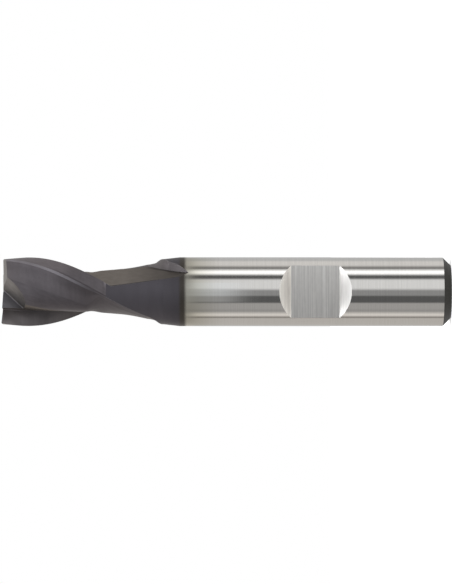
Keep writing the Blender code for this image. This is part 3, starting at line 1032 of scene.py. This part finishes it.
def build_tool():
    """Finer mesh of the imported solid, with its finishes."""
    tool = add_object('slot_drill_ground', loft_tool())
    for material in finishes():
        tool.data.materials.append(material)
    cut(tool, 'flat', clamping_flat(), [FLAT, FLAT_UPPER, FLAT, FLAT_LOWER])
    for tooth in range(TEETH):
        cut(tool, 'relief', end_relief(tooth), [RELIEF] * 5)
        cut(tool, 'gash', gash(tooth), [GASH, GASH, END_RAKE, END_RAKE])
    tool.data.shade_smooth()
    tool.data.set_sharp_from_angle(angle=math.radians(SHARP_ANGLE))
    return tool


def seen_light_path(tree):
    """1 for camera, glossy and transmission rays, which see the white background."""
    path = tree.nodes.new('ShaderNodeLightPath')
    share = arithmetic(tree, 'MAXIMUM', path.outputs['Is Camera Ray'],
                       path.outputs['Is Glossy Ray'])
    return arithmetic(tree, 'MAXIMUM', share, path.outputs['Is Transmission Ray'])


def set_world():
    """Plain white surroundings, dimmer as a light than they look."""
    world = bpy.data.worlds.new('studio')
    world.use_nodes = True
    bpy.context.scene.world = world
    tree = world.node_tree
    background = tree.nodes['Background']
    background.inputs['Color'].default_value = WHITE
    strength = step_between(tree, seen_light_path(tree), 0.0, 1.0, WORLD_LIGHT, 1.0)
    tree.links.new(strength, background.inputs['Strength'])


def white_floor():
    """Pale floor: white to the camera, with the tool's soft shadow."""
    mesh = bmesh.new()
    bmesh.ops.create_circle(mesh, cap_ends=True, segments=FLOOR_SEGMENTS,
                            radius=FLOOR_RADIUS)
    floor = add_object('floor', mesh)
    floor.visible_glossy = False
    material, tree, shader = new_material('floor')
    shader.inputs['Base Color'].default_value = FLOOR_COLOUR
    shader.inputs['Roughness'].default_value = FLOOR_ROUGHNESS
    shader.inputs['Emission Color'].default_value = WHITE
    glow = arithmetic(tree, 'MULTIPLY', seen_light_path(tree), FLOOR_GLOW)
    tree.links.new(glow, shader.inputs['Emission Strength'])
    floor.data.materials.append(material)
    return floor


def bands_of_light(tree, turn, bands):
    """Colour at a share of the half turn from the front, with soft changes between bands."""
    ramp = add_node(tree, 'ShaderNodeValToRGB', Fac=turn)
    elements = ramp.color_ramp.elements
    edges = [(edge, level, blue) for start, end, level, blue in bands
             for edge in (start, end)]
    while len(elements) < len(edges):
        elements.new(0.5)
    for element, (degrees, level, blue) in zip(elements, edges):
        element.position = degrees / HALF_TURN
        element.color = (level, level * (1.0 + blue) / 2, level * blue, 1.0)
    return ramp.outputs['Color']


def both_sides(tree, half_turn, right, left_bands, right_bands):
    """Colour round the whole turn, from the bands of each side."""
    return mix_colour(tree, right, bands_of_light(tree, half_turn, left_bands),
                      bands_of_light(tree, half_turn, right_bands))


def light_tent():
    """Open cylinder round the tool, with soft upright bands of light and shade."""
    mesh = bmesh.new()
    bmesh.ops.create_cone(mesh, cap_ends=False, segments=TENT_SEGMENTS, radius1=TENT_RADIUS,
                          radius2=TENT_RADIUS, depth=TENT_TOP - TENT_BOTTOM)
    middle = (TENT_TOP + TENT_BOTTOM) / 2
    bmesh.ops.translate(mesh, verts=mesh.verts, vec=(0.0, 0.0, middle))
    tent = add_object('light_tent', mesh)
    material = bpy.data.materials.new('light_tent')
    material.use_nodes = True
    tree = material.node_tree
    tree.nodes.clear()
    place = add_node(tree, 'ShaderNodeTexCoord').outputs['Object']
    parts = add_node(tree, 'ShaderNodeSeparateXYZ', Vector=place)
    front = arithmetic(tree, 'MULTIPLY', parts.outputs['Y'], -1.0)
    angle = arithmetic(tree, 'ARCTAN2', parts.outputs['X'], front)
    half_turn = arithmetic(tree, 'MULTIPLY', arithmetic(tree, 'ABSOLUTE', angle), 1 / math.pi)
    right = arithmetic(tree, 'GREATER_THAN', angle, 0.0)
    sides = (tree, half_turn, right)
    lit = both_sides(*sides, SHANK_BANDS_LEFT, SHANK_BANDS_RIGHT)
    lit = mix_colour(tree, step_between(tree, parts.outputs['Z'], *COLLAR_FADE), lit,
                     both_sides(*sides, FRONT_FILL_LEFT, FRONT_FILL_RIGHT), 'LIGHTEN')
    lit = mix_colour(tree, step_between(tree, parts.outputs['Z'], *CUTTER_FADE), lit,
                     both_sides(*sides, CUTTER_BANDS_LEFT, CUTTER_BANDS_RIGHT))
    level = step_between(tree, parts.outputs['Z'], *UPPER_DIM)
    emission = add_node(tree, 'ShaderNodeEmission', Strength=level, Color=lit)
    output = tree.nodes.new('ShaderNodeOutputMaterial')
    tree.links.new(emission.outputs[0], output.inputs['Surface'])
    tent.data.materials.append(material)
    tent.visible_camera = False
    tent.visible_diffuse = False
    tent.visible_shadow = False
    tent.visible_transmission = False
    return tent


def soft_lamp():
    """Square area lamp overhead that faces the middle of the tool."""
    data = bpy.data.lights.new('overhead', 'AREA')
    data.energy = LAMP_WATTS
    data.size = LAMP_SIZE
    lamp = bpy.data.objects.new('overhead', data)
    bpy.context.scene.collection.objects.link(lamp)
    lamp.location = LAMP_PLACE
    aim = Vector(LAMP_PLACE) - Vector((0.0, 0.0, OVERALL_LENGTH / 2))
    lamp.rotation_euler = aim.to_track_quat('Z', 'Y').to_euler()


def place_camera():
    """Camera level with the tool's middle, framed as the photograph is."""
    data = bpy.data.cameras.new('camera')
    data.sensor_width = SENSOR_WIDTH
    data.lens = SENSOR_WIDTH * CAMERA_DISTANCE * PIXELS_PER_METRE / IMAGE_HEIGHT
    data.clip_start = CLIP_START
    camera = bpy.data.objects.new('camera', data)
    bpy.context.scene.collection.objects.link(camera)
    right = Vector((0.0, 0.0, -1.0))
    up = Vector((1.0, 0.0, 0.0))
    back = right.cross(up)
    camera.matrix_world = Matrix((right, up, back)).transposed().to_4x4()
    camera.location = (
        (AXIS_ROW - IMAGE_HEIGHT / 2) / PIXELS_PER_METRE,
        -CAMERA_DISTANCE,
        (BASE_COLUMN - IMAGE_WIDTH / 2) / PIXELS_PER_METRE,
    )
    bpy.context.scene.camera = camera


tool = build_tool()
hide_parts("slot_drill")
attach(tool, "root")

set_world()
white_floor()
light_tent()
soft_lamp()
place_camera()
bpy.context.scene.view_settings.view_transform = 'Standard'
